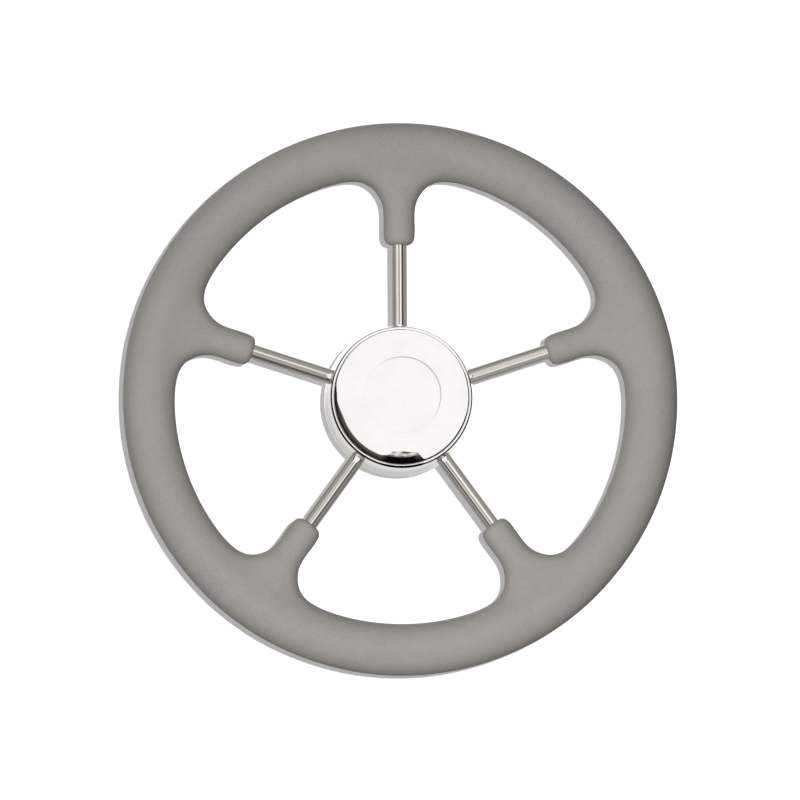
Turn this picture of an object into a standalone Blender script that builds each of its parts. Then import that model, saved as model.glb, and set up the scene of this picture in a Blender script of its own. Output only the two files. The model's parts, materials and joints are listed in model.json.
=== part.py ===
"""A five-spoke boat steering wheel with a moulded soft grip, polished rods, a hub shell and a push-in cap.

The wheel is drawn lying on its back: local +Z is its spin axis and points to the front, and local +Y is the top
spoke. The empty that everything hangs from then stands it up, so the front faces -Y and the top spoke points to
+Z. The origin is on the spin axis, at the rear face of the boss, where the helm shaft comes in.
"""

import math

import bmesh
import bpy
from mathutils import Matrix, Vector

MM = 0.001
GAP = 0.3 * MM  # between two pieces that touch
MERGE = 0.01 * MM

SPOKES = 5
SPOKE_STEP = math.tau / SPOKES
TOP = math.radians(90)  # the first spoke points to the top

# Rim and grip
WHEEL_R = 175 * MM
GRIP_TUBE_R = 16.5 * MM
RIM_R = WHEEL_R - GRIP_TUBE_R
RIM_Z = 30 * MM  # the plane of the rim and the spokes, in front of the boss's rear face
CORE_BAR_R = 5 * MM
SPOKE_R = 4.75 * MM
BOOT_END_R = 98 * MM  # from the spin axis to the end of a boot
BOOT_HALF = 9.9 * MM
NECK_HALF = 9.5 * MM

# Hub
SHELL_R = 47.5 * MM
SHELL_WALL = 1.5 * MM
SHELL_BACK_Z = RIM_Z - 15.5 * MM
SHELL_CORNER = 6 * MM
SHELL_DRAFT = 6  # degrees that the side opens towards the back
LIP_TOP_Z = RIM_Z + 13.7 * MM
LIP_R = 43 * MM  # the crown of the rolled lip
LIP_ROLL = 2.2 * MM
LIP_TAIL = 3.2 * MM
PLATE_R = 30 * MM
PLATE_HALF = 5.5 * MM
BOSS_FLANGE_R = 28 * MM
BOSS_BARREL_R = 18 * MM
BOSS_SPIGOT_R = 13.5 * MM
BOSS_FRONT_Z = RIM_Z + 8 * MM
TAPER_R = 9.525 * MM  # the large end of a 3/4 inch taper
TAPER_SLOPE = 1 / 24  # radius lost per length: 1 in 12 on the diameter
KEYWAY_WIDTH = 4.76 * MM
KEYWAY_TOP = 11.4 * MM

# Boss screws
SCREW_CIRCLE_R = 21.5 * MM
SCREW_R = 2.5 * MM
SCREW_HEAD_R = 4.25 * MM
SCREW_HEAD = 3.2 * MM
SCREW_LENGTH = 20 * MM
SCREW_HOLE_FLOOR = 1.5 * MM  # left under a blind screw hole in the boss's flange
SOCKET_R = 1.75 * MM
SOCKET_DEPTH = 2 * MM
WASHER_R = 4.4 * MM
WASHER = 1.1 * MM
WASHER_SPLIT = 0.8 * MM

# Cap
CAP_R = 43 * MM
CAP_WALL = 1 * MM
CAP_BACK_Z = LIP_TOP_Z + GAP
CAP_SHOULDER = 3 * MM
CAP_DOME_R = 63 * MM
CAP_RISE = 13.8 * MM  # from the cap's back to the edge of its recess
RECESS_R = 24 * MM
RECESS_DEPTH = 0.5 * MM
PLUG_R = LIP_R - LIP_ROLL - 0.7 * MM
PLUG_INNER_R = 33 * MM
PLUG_BACK_Z = RIM_Z + 6.2 * MM
PLUG_FRONT_Z = RIM_Z + 15.5 * MM
O_RING_R = 1.2 * MM
O_RING_Z = RIM_Z + 9.6 * MM


def clear_scene():
    for old in list(bpy.data.objects):
        bpy.data.objects.remove(old, do_unlink=True)


def collection(name):
    made = bpy.data.collections.new(name)
    bpy.context.scene.collection.children.link(made)
    return made


def material(name, colour, roughness, metallic):
    made = bpy.data.materials.new(name)
    made.use_nodes = True
    shader = made.node_tree.nodes["Principled BSDF"]
    shader.inputs["Base Color"].default_value = (*colour, 1)
    shader.inputs["Roughness"].default_value = roughness
    shader.inputs["Metallic"].default_value = metallic
    return made


def place(name, mesh, group, parent=None, colour=None):
    piece = bpy.data.objects.new(name, mesh)
    group.objects.link(piece)
    piece.parent = parent
    if colour and not mesh.materials:
        mesh.materials.append(colour)
    return piece


def settle(piece, sharp=40):
    """Turns a piece's modifiers into its mesh, shaded smooth except at its sharp edges."""
    seen = piece.evaluated_get(bpy.context.evaluated_depsgraph_get())
    mesh = bpy.data.meshes.new_from_object(seen)
    piece.modifiers.clear()
    piece.data = mesh
    mesh.name = piece.name
    mesh.shade_smooth()
    mesh.set_sharp_from_angle(angle=math.radians(sharp))
    return piece


def arc(centre, radius, start, end, count):
    """Points on an arc in the profile plane, angles in degrees from the outward direction."""
    points = []
    for i in range(count + 1):
        a = math.radians(start + (end - start) * i / count)
        points.append((centre[0] + radius * math.cos(a), centre[1] + radius * math.sin(a)))
    return points


def turned(name, profile, group, parent=None, colour=None, closed=True, steps=50):
    """A solid of revolution about local Z. The profile's (radius, height) points run down its outer side."""
    mesh = bpy.data.meshes.new(name)
    edges = [(i, i + 1) for i in range(len(profile) - 1)]
    if closed:
        edges.append((len(profile) - 1, 0))
    mesh.from_pydata([(r, 0, z) for r, z in profile], edges, [])
    piece = place(name, mesh, group, parent, colour)
    screw = piece.modifiers.new("turn", "SCREW")
    screw.steps = steps
    screw.render_steps = steps
    screw.use_merge_vertices = True
    screw.merge_threshold = MERGE
    return piece


def cut(piece, cutter):
    """Takes the cutter's shape out of a piece."""
    boolean = piece.modifiers.new("cut_" + cutter.name, "BOOLEAN")
    boolean.operation = "DIFFERENCE"
    boolean.object = cutter


def as_cutter(piece):
    piece.hide_render = True
    piece.display_type = "WIRE"
    return piece


def rod_mesh(name, radius, start, end, sides=16):
    """A round bar along local +X, between two distances from the spin axis."""
    mesh = bpy.data.meshes.new(name)
    bm = bmesh.new()
    bmesh.ops.create_cone(
        bm, cap_ends=True, segments=sides, radius1=radius, radius2=radius, depth=end - start
    )
    flat_side_on = Matrix.Rotation(math.pi / sides, 3, "Z")
    bmesh.ops.rotate(bm, verts=bm.verts, matrix=Matrix.Rotation(math.pi / 2, 3, "Y") @ flat_side_on)
    bmesh.ops.translate(bm, verts=bm.verts, vec=Vector(((start + end) / 2, 0, RIM_Z)))
    bm.to_mesh(mesh)
    bm.free()
    return mesh


def bar_mesh(name, radius, low, high, sides=12):
    """A round bar along local Z."""
    mesh = bpy.data.meshes.new(name)
    bm = bmesh.new()
    bmesh.ops.create_cone(
        bm, cap_ends=True, segments=sides, radius1=radius, radius2=radius, depth=high - low
    )
    bmesh.ops.rotate(bm, verts=bm.verts, matrix=Matrix.Rotation(math.pi / sides, 3, "Z"))
    bmesh.ops.translate(bm, verts=bm.verts, vec=Vector((0, 0, (low + high) / 2)))
    bm.to_mesh(mesh)
    bm.free()
    return mesh


def ring(name, radius, bar, height, group, parent=None, colour=None, segments=60, sides=8):
    """A round bar bent into a ring about the spin axis."""
    bpy.ops.mesh.primitive_torus_add(
        major_segments=segments, minor_segments=sides, major_radius=radius, minor_radius=bar
    )
    made = bpy.context.object
    mesh = made.data
    bpy.data.objects.remove(made)
    mesh.transform(Matrix.Translation((0, 0, height)))
    mesh.name = name
    mesh.shade_smooth()
    return place(name, mesh, group, parent, colour)


def spoke_angle(k):
    return TOP + k * SPOKE_STEP


def between_angle(k):
    return TOP + (k + 0.5) * SPOKE_STEP


def around(name, mesh, angle_of, group, parent=None, colour=None):
    """Five pieces that share one mesh, turned about the spin axis."""
    made = []
    for k in range(SPOKES):
        piece = place(f"{name}_{k + 1}", mesh, group, parent, colour)
        piece.rotation_euler.z = angle_of(k)
        made.append(piece)
    return made


# The grip

CAGE_SIDES = 8
CAGE_STEPS = (9.5, 13, 13.5, 13.5, 13, 9.5)  # degrees from one cage column to the next, spoke to spoke


def cage_columns():
    """The angle of each of the cage's columns, and how much of its radius it keeps once it is subdivided."""
    columns = []
    angle = TOP
    for _ in range(SPOKES):
        for n, step in enumerate(CAGE_STEPS):
            before = math.cos(math.radians(CAGE_STEPS[n - 1]))
            after = math.cos(math.radians(step))
            columns.append((angle, (4 + before + after) / 6))
            angle += math.radians(step)
    return columns


def section_share():
    """How much of the cage section's radius is left once it is subdivided."""
    return (2 + math.cos(math.tau / CAGE_SIDES)) / 3


def boot_sections():
    """(distance from the spin axis, half width, half depth) of the sections down a boot."""
    return [
        (RIM_R - 29 * MM, 12.2 * MM, 11 * MM),
        (RIM_R - 38 * MM, NECK_HALF, NECK_HALF),
        (BOOT_END_R + 12 * MM, BOOT_HALF, BOOT_HALF),
        (BOOT_END_R + 7 * MM, BOOT_HALF, BOOT_HALF),
        (BOOT_END_R + 1 * MM, BOOT_HALF - 0.3 * MM, BOOT_HALF - 0.3 * MM),
        (BOOT_END_R - 0.2 * MM, 6.2 * MM, 6.2 * MM),
    ]


def grip_cage():
    """The rim's tube as a coarse cage, with a boot drawn inwards at each spoke."""
    bm = bmesh.new()
    tube = GRIP_TUBE_R / section_share()
    rows = []
    for angle, kept in cage_columns():
        row = []
        for j in range(CAGE_SIDES):
            s = math.tau * j / CAGE_SIDES
            r = (RIM_R + tube * math.cos(s)) / kept
            z = RIM_Z + tube * math.sin(s)
            row.append(bm.verts.new((r * math.cos(angle), r * math.sin(angle), z)))
        rows.append(row)
    faces = {}
    for i, near in enumerate(rows):
        far = rows[(i + 1) % len(rows)]
        for j in range(CAGE_SIDES):
            k = (j + 1) % CAGE_SIDES
            faces[i, j] = bm.faces.new((near[j], far[j], far[k], near[k]))
    inner = CAGE_SIDES // 2
    for spoke in range(SPOKES):
        i = spoke * len(CAGE_STEPS)
        patch = [faces[n % len(rows), j] for n in (i - 1, i) for j in (inner - 1, inner)]
        draw_boot(bm, patch, spoke_angle(spoke))
    bmesh.ops.recalc_face_normals(bm, faces=bm.faces)
    mesh = bpy.data.meshes.new("soft_grip")
    bm.to_mesh(mesh)
    bm.free()
    return mesh


def draw_boot(bm, patch, angle):
    """Draws a two by two patch of faces inwards through the boot's sections."""
    inward = Matrix.Rotation(angle, 3, "Z")
    full = 1 / section_share()
    for distance, half_width, half_depth in boot_sections():
        drawn = bmesh.ops.extrude_face_region(bm, geom=patch)["geom"]
        bmesh.ops.delete(bm, geom=patch, context="FACES")
        patch = [f for f in drawn if isinstance(f, bmesh.types.BMFace)]
        corners = {v for f in patch for v in f.verts}
        for v in corners:
            local = inward.inverted() @ v.co
            side = (local.y > MM) - (local.y < -MM)
            depth = (local.z > RIM_Z + MM) - (local.z < RIM_Z - MM)
            share = full * math.sqrt(0.5) if side and depth else full
            offset = Vector((distance, side * share * half_width, RIM_Z + depth * share * half_depth))
            v.co = inward @ offset


def core_clearance(cutters, root):
    """The room that the rim's core bar takes up inside the grip, and at the end of each spoke."""
    return as_cutter(ring("core_room", RIM_R, CORE_BAR_R + GAP, RIM_Z, cutters, root))


def spoke_clearances(cutters, root):
    """The channel that each rod runs in, from inside the hub shell to the rim's core bar."""
    mesh = rod_mesh("spoke_room", SPOKE_R + GAP, PLATE_R + 8 * MM, RIM_R)
    return [as_cutter(c) for c in around("spoke_room", mesh, spoke_angle, cutters, root)]


def soft_grip(parts, root, colour, core_room, spoke_rooms):
    grip = place("soft_grip", grip_cage(), parts, root, colour)
    smooth = grip.modifiers.new("round", "SUBSURF")
    smooth.levels = 1
    smooth.render_levels = 1
    for room in spoke_rooms:
        cut(grip, room)
    cut(grip, core_room)
    return settle(grip)


# Frame


def spokes(parts, root, colour, core_room):
    """Five rods, each coped to the rim's core bar and square where it meets the hub plate."""
    mesh = rod_mesh("spoke", SPOKE_R, PLATE_R + GAP, RIM_R)
    pattern = place("spoke_pattern", mesh, parts, root, colour)
    cut(pattern, core_room)
    shared = settle(pattern).data
    bpy.data.objects.remove(pattern)
    return around("spoke", shared, spoke_angle, parts, root)


def hub_shell(parts, root, colour, spoke_rooms):
    """A pressed cup with a rolled lip at the front and a wide hole in its floor for the boss."""
    widest = SHELL_BACK_Z + SHELL_CORNER
    lip_z = LIP_TOP_Z - LIP_ROLL
    inner_roll = LIP_ROLL - SHELL_WALL
    hole = BOSS_FLANGE_R + GAP
    profile = arc((LIP_R, lip_z), LIP_ROLL, 180, 90, 3)
    profile += arc((LIP_R, lip_z), LIP_ROLL, 90, SHELL_DRAFT, 3)[1:]
    profile += arc((SHELL_R - SHELL_CORNER, widest), SHELL_CORNER, 0, -90, 4)
    profile += [(hole, SHELL_BACK_Z), (hole, SHELL_BACK_Z + SHELL_WALL)]
    profile += arc((SHELL_R - SHELL_CORNER, widest), SHELL_CORNER - SHELL_WALL, -90, 0, 3)
    profile += arc((LIP_R, lip_z), inner_roll, SHELL_DRAFT, 180, 3)
    profile += [(LIP_R - inner_roll, lip_z - LIP_TAIL), (LIP_R - LIP_ROLL, lip_z - LIP_TAIL)]
    shell = turned("hub_shell", profile, parts, root, colour)
    for room in spoke_rooms:
        cut(shell, room)
    return settle(shell)


def hub_plate(parts, root, colour, screw_rooms):
    """The thick round plate that the rods are welded to."""
    chamfer = 1 * MM
    bore = BOSS_SPIGOT_R + GAP
    top, bottom = RIM_Z + PLATE_HALF, RIM_Z - PLATE_HALF
    profile = [
        (bore, top),
        (PLATE_R - chamfer, top),
        (PLATE_R, top - chamfer),
        (PLATE_R, bottom + chamfer),
        (PLATE_R - chamfer, bottom),
        (bore, bottom),
    ]
    plate = turned("hub_plate", profile, parts, root, colour)
    for room in screw_rooms:
        cut(plate, room)
    return settle(plate)


def taper_r(z):
    """The shaft bore's radius at a height above the boss's rear face."""
    return TAPER_R - TAPER_SLOPE * z


def taper_boss(parts, root, cutters, colour, screw_rooms):
    """A flanged boss with a taper bore for the helm shaft, and a keyway at the top."""
    chamfer = 0.8 * MM
    face = RIM_Z - PLATE_HALF - GAP
    profile = [
        (taper_r(BOSS_FRONT_Z), BOSS_FRONT_Z),
        (BOSS_SPIGOT_R - chamfer, BOSS_FRONT_Z),
        (BOSS_SPIGOT_R, BOSS_FRONT_Z - chamfer),
        (BOSS_SPIGOT_R, face),
        (BOSS_FLANGE_R, face),
        (BOSS_FLANGE_R, SHELL_BACK_Z + chamfer),
        (BOSS_FLANGE_R - chamfer, SHELL_BACK_Z),
        (BOSS_BARREL_R, SHELL_BACK_Z),
        (BOSS_BARREL_R, chamfer),
        (BOSS_BARREL_R - chamfer, 0),
        (TAPER_R, 0),
    ]
    boss = turned("taper_boss", profile, parts, root, colour)
    bpy.ops.mesh.primitive_cube_add(size=1)
    made = bpy.context.object
    box = made.data
    bpy.data.objects.remove(made)
    box.transform(Matrix.Diagonal((KEYWAY_WIDTH, KEYWAY_TOP, 2 * BOSS_FRONT_Z, 1)))
    box.transform(Matrix.Translation((0, KEYWAY_TOP / 2, BOSS_FRONT_Z / 2)))
    cut(boss, as_cutter(place("keyway_room", box, cutters, root)))
    for room in screw_rooms:
        cut(boss, room)
    return settle(boss)


# Fasteners


def offset_mesh(mesh):
    """Moves a mesh out to the screw circle."""
    mesh.transform(Matrix.Translation((SCREW_CIRCLE_R, 0, 0)))
    return mesh


def screw_clearances(cutters, root):
    """Through the plate and blind into the boss's flange, one hole between each pair of spokes."""
    low = SHELL_BACK_Z + SCREW_HOLE_FLOOR
    mesh = offset_mesh(bar_mesh("screw_room", SCREW_R + GAP, low, RIM_Z + PLATE_HALF + MM))
    return [as_cutter(c) for c in around("screw_room", mesh, between_angle, cutters, root)]


def lock_washers(parts, root, cutters, colour):
    """Split rings under the screw heads."""
    low = RIM_Z + PLATE_HALF + GAP
    inner = SCREW_R + GAP
    profile = [(inner, low + WASHER), (WASHER_R, low + WASHER), (WASHER_R, low), (inner, low)]
    pattern = turned("washer_pattern", profile, parts, root, colour, steps=16)
    bpy.ops.mesh.primitive_cube_add(size=1)
    made = bpy.context.object
    slot = made.data
    bpy.data.objects.remove(made)
    slot.transform(Matrix.Diagonal((2 * WASHER_R, WASHER_SPLIT, 4 * WASHER, 1)))
    slot.transform(Matrix.Translation((WASHER_R, 0, low + WASHER / 2)))
    cut(pattern, as_cutter(place("washer_slot", slot, cutters, root)))
    shared = offset_mesh(settle(pattern).data)
    bpy.data.objects.remove(pattern)
    return around("lock_washer", shared, between_angle, parts, root)


def boss_screws(parts, root, cutters, colour):
    """Socket head screws from the front."""
    seat = RIM_Z + PLATE_HALF + WASHER + 2 * GAP
    top = seat + SCREW_HEAD
    tip = seat - SCREW_LENGTH
    round_off = 0.6 * MM
    profile = [
        (0, top),
        (SCREW_HEAD_R - round_off, top),
        (SCREW_HEAD_R, top - round_off),
        (SCREW_HEAD_R, seat),
        (SCREW_R, seat),
        (SCREW_R, tip + round_off),
        (SCREW_R - round_off, tip),
        (0, tip),
    ]
    pattern = turned("screw_pattern", profile, parts, root, colour, closed=False, steps=12)
    socket = bar_mesh("socket_room", SOCKET_R, top - SOCKET_DEPTH, top + MM, sides=6)
    cut(pattern, as_cutter(place("socket_room", socket, cutters, root)))
    shared = offset_mesh(settle(pattern).data)
    bpy.data.objects.remove(pattern)
    return around("boss_screw", shared, between_angle, parts, root)


# Cap


def dome_z(radius, dome_r):
    """The height of the cap's dome, or of its inner face, at a radius."""
    centre = recess_rim_z() - math.sqrt(CAP_DOME_R**2 - RECESS_R**2)
    return centre + math.sqrt(dome_r**2 - radius**2)


def recess_rim_z():
    """The height of the recess's edge."""
    return CAP_BACK_Z + CAP_RISE


def cap_shell(parts, slide, colour):
    """A domed pressing with a tight shoulder and a shallow round recess in the middle."""
    turn_r = CAP_R - CAP_SHOULDER
    reach = CAP_DOME_R - CAP_SHOULDER
    meet = math.degrees(math.acos(turn_r / reach))
    centre_z = dome_z(0, CAP_DOME_R) - CAP_DOME_R + math.sqrt(reach**2 - turn_r**2)
    start_r = RECESS_R + RECESS_DEPTH
    end_r = turn_r + CAP_SHOULDER * math.cos(math.radians(meet))
    floor = recess_rim_z() - RECESS_DEPTH
    inner_r = CAP_DOME_R - CAP_WALL
    profile = [(0, floor), (RECESS_R, floor), (start_r, dome_z(start_r, CAP_DOME_R))]
    for i in range(1, 3):
        r = start_r + (end_r - start_r) * i / 3
        profile.append((r, dome_z(r, CAP_DOME_R)))
    profile += arc((turn_r, centre_z), CAP_SHOULDER, meet, 0, 4)
    profile += [(CAP_R, CAP_BACK_Z), (CAP_R - CAP_WALL, CAP_BACK_Z)]
    profile += arc((turn_r, centre_z), CAP_SHOULDER - CAP_WALL, 0, meet, 3)
    for i in range(1, 4):
        r = end_r + (RECESS_R - end_r) * i / 3
        profile.append((r, min(dome_z(r, inner_r), floor - CAP_WALL)))
    profile.append((0, floor - CAP_WALL))
    return settle(turned("cap_shell", profile, parts, slide, colour, closed=False), sharp=25)


def cap_plug(parts, slide, colour):
    """The ring behind the cap that goes into the hub's lip, with a groove for the O-ring."""
    groove_r = PLUG_R - 2 * O_RING_R
    half = O_RING_R + GAP
    profile = [
        (PLUG_INNER_R, PLUG_FRONT_Z),
        (PLUG_R, PLUG_FRONT_Z),
        (PLUG_R, O_RING_Z + half),
        (groove_r, O_RING_Z + half),
        (groove_r, O_RING_Z - half),
        (PLUG_R, O_RING_Z - half),
        (PLUG_R, PLUG_BACK_Z + MM),
        (PLUG_R - MM, PLUG_BACK_Z),
        (PLUG_INNER_R, PLUG_BACK_Z),
    ]
    return settle(turned("cap_plug", profile, parts, slide, colour))


def main():
    clear_scene()
    parts = collection("ship_steering_wheel")
    cutters = collection("cutters")

    polished = material("polished_steel", (0.86, 0.86, 0.85), 0.06, 1)
    machined = material("machined_steel", (0.62, 0.62, 0.62), 0.3, 1)
    zinc = material("plated_steel", (0.7, 0.7, 0.68), 0.35, 1)
    foam = material("grey_polyurethane", (0.33, 0.32, 0.3), 0.75, 0)
    nylon = material("black_nylon", (0.03, 0.03, 0.03), 0.5, 0)
    nitrile = material("black_nitrile", (0.02, 0.02, 0.02), 0.7, 0)
    bar = material("rim_bar_steel", (0.5, 0.5, 0.5), 0.4, 1)

    root = bpy.data.objects.new("wheel_axis", None)
    parts.objects.link(root)
    root.rotation_euler.x = math.radians(90)
    slide = bpy.data.objects.new("cap_slide", None)
    parts.objects.link(slide)
    slide.parent = root
    bpy.context.view_layer.update()

    core_room = core_clearance(cutters, root)
    spoke_rooms = spoke_clearances(cutters, root)
    screw_rooms = screw_clearances(cutters, root)
    bpy.context.view_layer.update()

    soft_grip(parts, root, foam, core_room, spoke_rooms)
    ring("rim_core_ring", RIM_R, CORE_BAR_R, RIM_Z, parts, root, bar)
    spokes(parts, root, polished, core_room)
    hub_shell(parts, root, polished, spoke_rooms)
    hub_plate(parts, root, machined, screw_rooms)
    taper_boss(parts, root, cutters, machined, screw_rooms)
    lock_washers(parts, root, cutters, zinc)
    boss_screws(parts, root, cutters, zinc)
    cap_shell(parts, slide, polished)
    cap_plug(parts, slide, nylon)
    o_ring_r = PLUG_R - 2 * O_RING_R + GAP + O_RING_R
    ring("cap_o_ring", o_ring_r, O_RING_R, O_RING_Z, parts, slide, nitrile, segments=45, sides=6)


main()
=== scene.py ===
"""The looks of a five-spoke boat steering wheel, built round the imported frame.

The frame is in metres: +Y runs along the spin axis towards the helm, the front faces -Y, and the top spoke
points to +Z. The pieces are drawn lying on their backs, with +Z to the front and the top spoke along +Y, and
then stood up.
"""

import json
import math

import bmesh
import bpy
from mathutils import Matrix, Quaternion, Vector

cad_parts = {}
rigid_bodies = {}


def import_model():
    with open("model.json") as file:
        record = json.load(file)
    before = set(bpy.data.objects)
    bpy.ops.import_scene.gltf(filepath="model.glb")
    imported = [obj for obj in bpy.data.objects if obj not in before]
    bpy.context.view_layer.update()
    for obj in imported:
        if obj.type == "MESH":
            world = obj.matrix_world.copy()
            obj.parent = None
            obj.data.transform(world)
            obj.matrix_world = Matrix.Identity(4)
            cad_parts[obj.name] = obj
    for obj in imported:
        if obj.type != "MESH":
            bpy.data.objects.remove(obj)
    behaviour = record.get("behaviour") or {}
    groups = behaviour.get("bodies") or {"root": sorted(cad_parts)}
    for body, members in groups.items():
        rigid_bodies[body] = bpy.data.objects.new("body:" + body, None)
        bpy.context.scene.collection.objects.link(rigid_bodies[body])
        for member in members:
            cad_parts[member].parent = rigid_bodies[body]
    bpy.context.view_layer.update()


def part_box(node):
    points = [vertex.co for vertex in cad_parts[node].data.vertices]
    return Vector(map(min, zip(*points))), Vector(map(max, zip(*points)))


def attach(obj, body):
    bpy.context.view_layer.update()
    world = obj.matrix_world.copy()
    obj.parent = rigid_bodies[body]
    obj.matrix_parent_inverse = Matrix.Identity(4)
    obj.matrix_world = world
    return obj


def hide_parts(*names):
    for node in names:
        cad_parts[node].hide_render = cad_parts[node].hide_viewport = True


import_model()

MM = 0.001
STAND_UP = Matrix.Rotation(math.radians(90), 4, "X")
SPOKES = 5
SPOKE_STEP = math.tau / SPOKES
TOP = math.radians(90)
GAP = 0.3 * MM


def depth_of(node):
    """How far in front of the boss's rear face a CAD node starts and ends."""
    low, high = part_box(node)
    return -high.y, -low.y


def radius_of(node):
    low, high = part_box(node)
    return (high.x - low.x) / 2


# Places and sizes from the frame
CORE_BACK, CORE_FRONT = depth_of("rim_core_ring")
CORE_BAR_R = (CORE_FRONT - CORE_BACK) / 2
RIM_Z = (CORE_FRONT + CORE_BACK) / 2
RIM_R = radius_of("rim_core_ring") - CORE_BAR_R
GRIP_BACK, GRIP_FRONT = depth_of("soft_grip")
GRIP_TUBE_R = (GRIP_FRONT - GRIP_BACK) / 2 - 0.2 * MM
WHEEL_R = radius_of("soft_grip") + 0.2 * MM
SHELL_R = radius_of("hub_shell")
SHELL_BACK, LIP_TOP = depth_of("hub_shell")
PLATE_R = radius_of("hub_plate")
PLATE_BACK, PLATE_FRONT = depth_of("hub_plate")
BOSS_BACK, BOSS_FRONT = depth_of("taper_boss")
BOSS_FLANGE_R = radius_of("taper_boss")
CAP_R = radius_of("cap_shell")
CAP_BACK, CAP_FRONT = depth_of("cap_shell")
PLUG_BACK, PLUG_FRONT = depth_of("cap_plug")
PLUG_R = radius_of("cap_plug")
O_RING_BACK, O_RING_FRONT = depth_of("cap_o_ring")
O_RING_BAR_R = (O_RING_FRONT - O_RING_BACK) / 2
O_RING_R = radius_of("cap_o_ring") - O_RING_BAR_R
WASHER_BACK, WASHER_FRONT = depth_of("lock_washer_1")
SCREW_TIP, SCREW_TOP = depth_of("boss_screw_1")

# Sizes that the frame's boxes don't show
SPOKE_R = 4.75 * MM
BOOT_END_R = 98 * MM
BOOT_HALF = 9.9 * MM
NECK_HALF = 9.5 * MM
SHELL_WALL = 1.5 * MM
SHELL_CORNER = 6 * MM
SHELL_DRAFT = 6  # degrees
LIP_R = 43 * MM
LIP_ROLL = 2.2 * MM
LIP_TAIL = 3.2 * MM
BOSS_BARREL_R = 18 * MM
BOSS_SPIGOT_R = 13.5 * MM
TAPER_R = 9.525 * MM
TAPER_SLOPE = 1 / 24
KEYWAY_WIDTH = 4.76 * MM
KEYWAY_TOP = 11.4 * MM
SCREW_CIRCLE_R = 21.5 * MM
SCREW_R = 2.5 * MM
SCREW_HEAD_R = 4.25 * MM
SCREW_HEAD = 3.2 * MM
SOCKET_R = 1.75 * MM
SOCKET_DEPTH = 2 * MM
WASHER_R = 4.4 * MM
CAP_WALL = 1 * MM
CAP_SHOULDER = 3 * MM
CAP_DOME_R = 63 * MM
RECESS_R = 24 * MM
RECESS_DEPTH = 0.3 * MM
PLUG_INNER_R = 33 * MM

TURN_STEPS = 192
MERGE = 0.001 * MM


# Mesh helpers


def to_mesh(bm, name):
    bmesh.ops.recalc_face_normals(bm, faces=bm.faces)
    mesh = bpy.data.meshes.new(name)
    bm.to_mesh(mesh)
    bm.free()
    return mesh


def smooth(mesh, sharp=35):
    mesh.shade_smooth()
    mesh.set_sharp_from_angle(angle=math.radians(sharp))
    return mesh


def arc(centre, radius, start, end, count):
    """Points on an arc in the profile plane, angles in degrees from the outward direction."""
    points = []
    for i in range(count + 1):
        a = math.radians(start + (end - start) * i / count)
        points.append((centre[0] + radius * math.cos(a), centre[1] + radius * math.sin(a)))
    return points


def rounded(corners, count=5):
    """A closed outline from (radius, height, fillet) corners."""
    points = []
    for i, (r, z, fillet) in enumerate(corners):
        here = Vector((r, z))
        back = (Vector(corners[i - 1][:2]) - here).normalized()
        ahead = (Vector(corners[(i + 1) % len(corners)][:2]) - here).normalized()
        half = back.angle(ahead) / 2
        middle = here + (back + ahead).normalized() * fillet / math.sin(half)
        first = here + back * fillet / math.tan(half) - middle
        last = here + ahead * fillet / math.tan(half) - middle
        for k in range(count + 1):
            arm = first.lerp(last, k / count).normalized() * fillet
            points.append(tuple(middle + arm))
    return points


def lathe(profile, name, closed=True, steps=TURN_STEPS):
    """A mesh turned about +Z from (radius, height) points."""
    bm = bmesh.new()
    points = [bm.verts.new((r, 0, z)) for r, z in profile]
    edges = [bm.edges.new(pair) for pair in zip(points, points[1:])]
    if closed:
        edges.append(bm.edges.new((points[-1], points[0])))
    bmesh.ops.spin(
        bm, geom=points + edges, axis=(0, 0, 1), cent=(0, 0, 0), steps=steps, angle=math.tau, use_merge=True
    )
    bmesh.ops.remove_doubles(bm, verts=bm.verts, dist=MERGE)
    return to_mesh(bm, name)


def skin_rows(bm, rows):
    """Faces between each closed row of points and the next, and one across either end."""
    for near, far in zip(rows, rows[1:]):
        for i in range(len(near)):
            k = (i + 1) % len(near)
            bm.faces.new((near[i], near[k], far[k], far[i]))
    bm.faces.new(rows[0])
    bm.faces.new(rows[-1])


def place(name, mesh, material, body, nodes, turn=0):
    """Stands a lying mesh up as a piece that rides on its body in place of its CAD nodes."""
    mesh.materials.clear()
    mesh.materials.append(material)
    piece = bpy.data.objects.new(name, mesh)
    bpy.context.scene.collection.objects.link(piece)
    piece.matrix_world = STAND_UP @ Matrix.Rotation(turn, 4, "Z")
    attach(piece, body)
    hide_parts(*nodes)
    return piece


def cut(mesh, cutters):
    """The mesh with the cutters' shapes taken out of it."""
    subject = bpy.data.objects.new("subject", mesh)
    bpy.context.scene.collection.objects.link(subject)
    helpers = [subject]
    for cutter in cutters:
        helper = bpy.data.objects.new("cutter", cutter)
        bpy.context.scene.collection.objects.link(helper)
        boolean = subject.modifiers.new("cut", "BOOLEAN")
        boolean.operation = "DIFFERENCE"
        boolean.object = helper
        helpers.append(helper)
    bpy.context.view_layer.update()
    seen = subject.evaluated_get(bpy.context.evaluated_depsgraph_get())
    made = bpy.data.meshes.new_from_object(seen)
    for helper in helpers:
        bpy.data.objects.remove(helper)
    return made


def bar(radius, low, high, sides=48):
    """A closed round bar along +Z."""
    bm = bmesh.new()
    bmesh.ops.create_cone(
        bm, cap_ends=True, segments=sides, radius1=radius, radius2=radius, depth=high - low
    )
    bmesh.ops.translate(bm, verts=bm.verts, vec=Vector((0, 0, (low + high) / 2)))
    return to_mesh(bm, "bar")


def moved(mesh, angle, distance):
    """A copy of a mesh out at a distance from the spin axis, in a direction round it."""
    copy = mesh.copy()
    copy.transform(Matrix.Rotation(angle, 4, "Z") @ Matrix.Translation((distance, 0, 0)))
    return copy


def spoke_angle(k):
    return TOP + k * SPOKE_STEP


def between_angle(k):
    return TOP + (k + 0.5) * SPOKE_STEP


# Node helpers


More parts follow.
